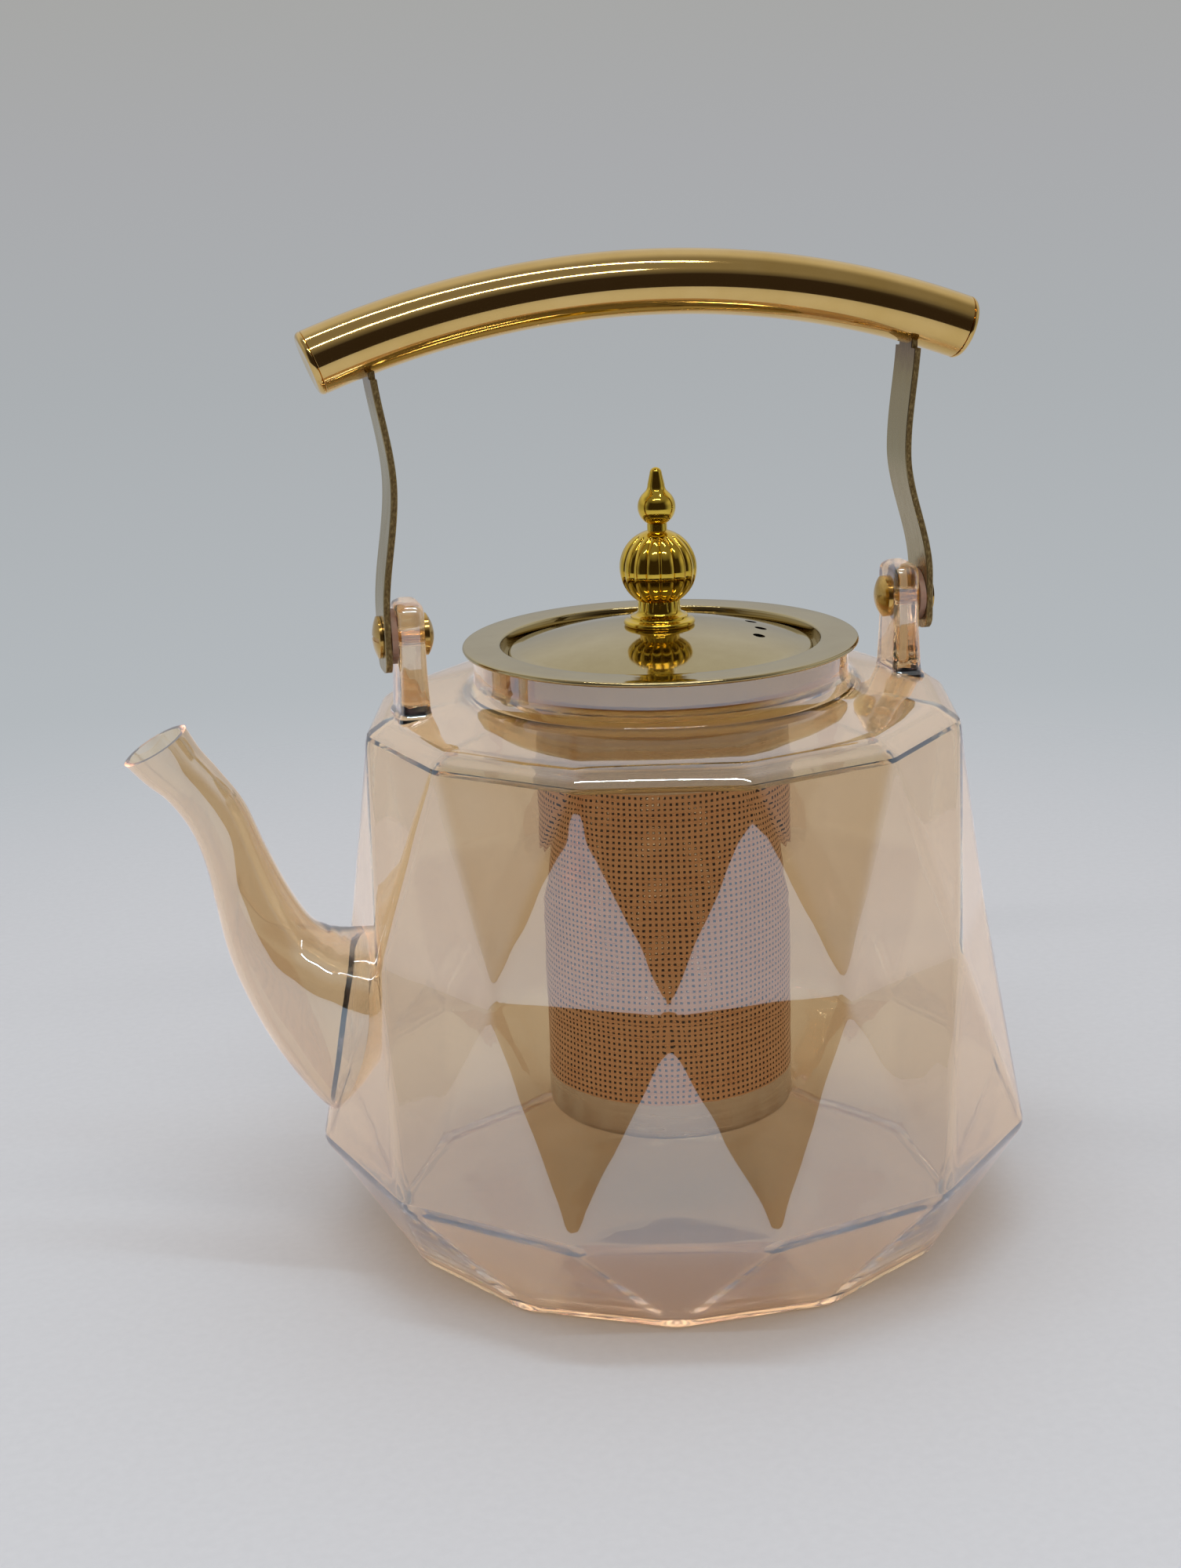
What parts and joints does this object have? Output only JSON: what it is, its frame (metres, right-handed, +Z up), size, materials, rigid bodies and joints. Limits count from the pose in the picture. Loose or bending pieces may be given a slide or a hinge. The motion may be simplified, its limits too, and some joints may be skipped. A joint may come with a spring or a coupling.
{
  "type": "glass teapot with infuser",
  "caption": "Faceted amber glass teapot with a curved spout, a swinging gold arched handle on glass lugs, a lift-out perforated steel infuser and a domed gold lid with a finial.",
  "frame": {"origin": "centre of the flat base, where the pot's own axis meets the table", "axes": "+Z up along the pot's axis, -X towards the spout, the handle's arch in the XZ plane, its pivots along X"},
  "size_m": [0.1871, 0.1528, 0.2051],
  "materials": {
    "lustre_glass": "clear blown glass with an amber lustre coat",
    "plated_gold": "mirror gold plated steel",
    "satin_gold": "satin champagne gold plated steel",
    "strap_steel": "champagne nickel, satin, with rough punched edges",
    "steel_sheet": "fine brushed stainless sheet",
    "perforated_steel": "fine etched perforations with plain strips",
    "silicone": "translucent brown-pink silicone"
  },
  "bodies": {
    "pot": {"glass_body": "lustre_glass", "glass_base": "lustre_glass", "glass_spout": "lustre_glass", "glass_lug_left": "lustre_glass", "glass_lug_right": "lustre_glass", "pivot_screw_left": "plated_gold", "pivot_screw_right": "plated_gold", "pivot_nut_left": "plated_gold", "pivot_nut_right": "plated_gold", "pivot_washer_left": "silicone", "pivot_washer_right": "silicone"},
    "handle": {"handle_tube": "plated_gold", "handle_cap_left": "plated_gold", "handle_cap_right": "plated_gold", "handle_strap_left": "strap_steel", "handle_strap_right": "strap_steel"},
    "infuser": {"infuser_rim": "satin_gold", "infuser_cup": "steel_sheet", "infuser_basket": "perforated_steel", "infuser_bottom": "perforated_steel"},
    "lid": {"lid_dome": "satin_gold", "lid_skirt": "satin_gold", "lid_knob": "plated_gold", "knob_screw": "steel_sheet", "knob_washer": "steel_sheet"}
  },
  "joints": [
    {"name": "handle_swing", "type": "hinge", "parent": "pot", "child": "handle", "pos_m": [0, 0, 0.1312], "axis": [1, 0, 0], "range_deg": [-100, 100]},
    {"name": "infuser_lift", "type": "slide", "parent": "pot", "child": "infuser", "axis": [0, 0, 1], "range_m": [0, 0.028]},
    {"name": "lid_lift", "type": "slide", "parent": "infuser", "child": "lid", "axis": [0, 0, 1], "range_m": [0, 0.028]}
  ]
}
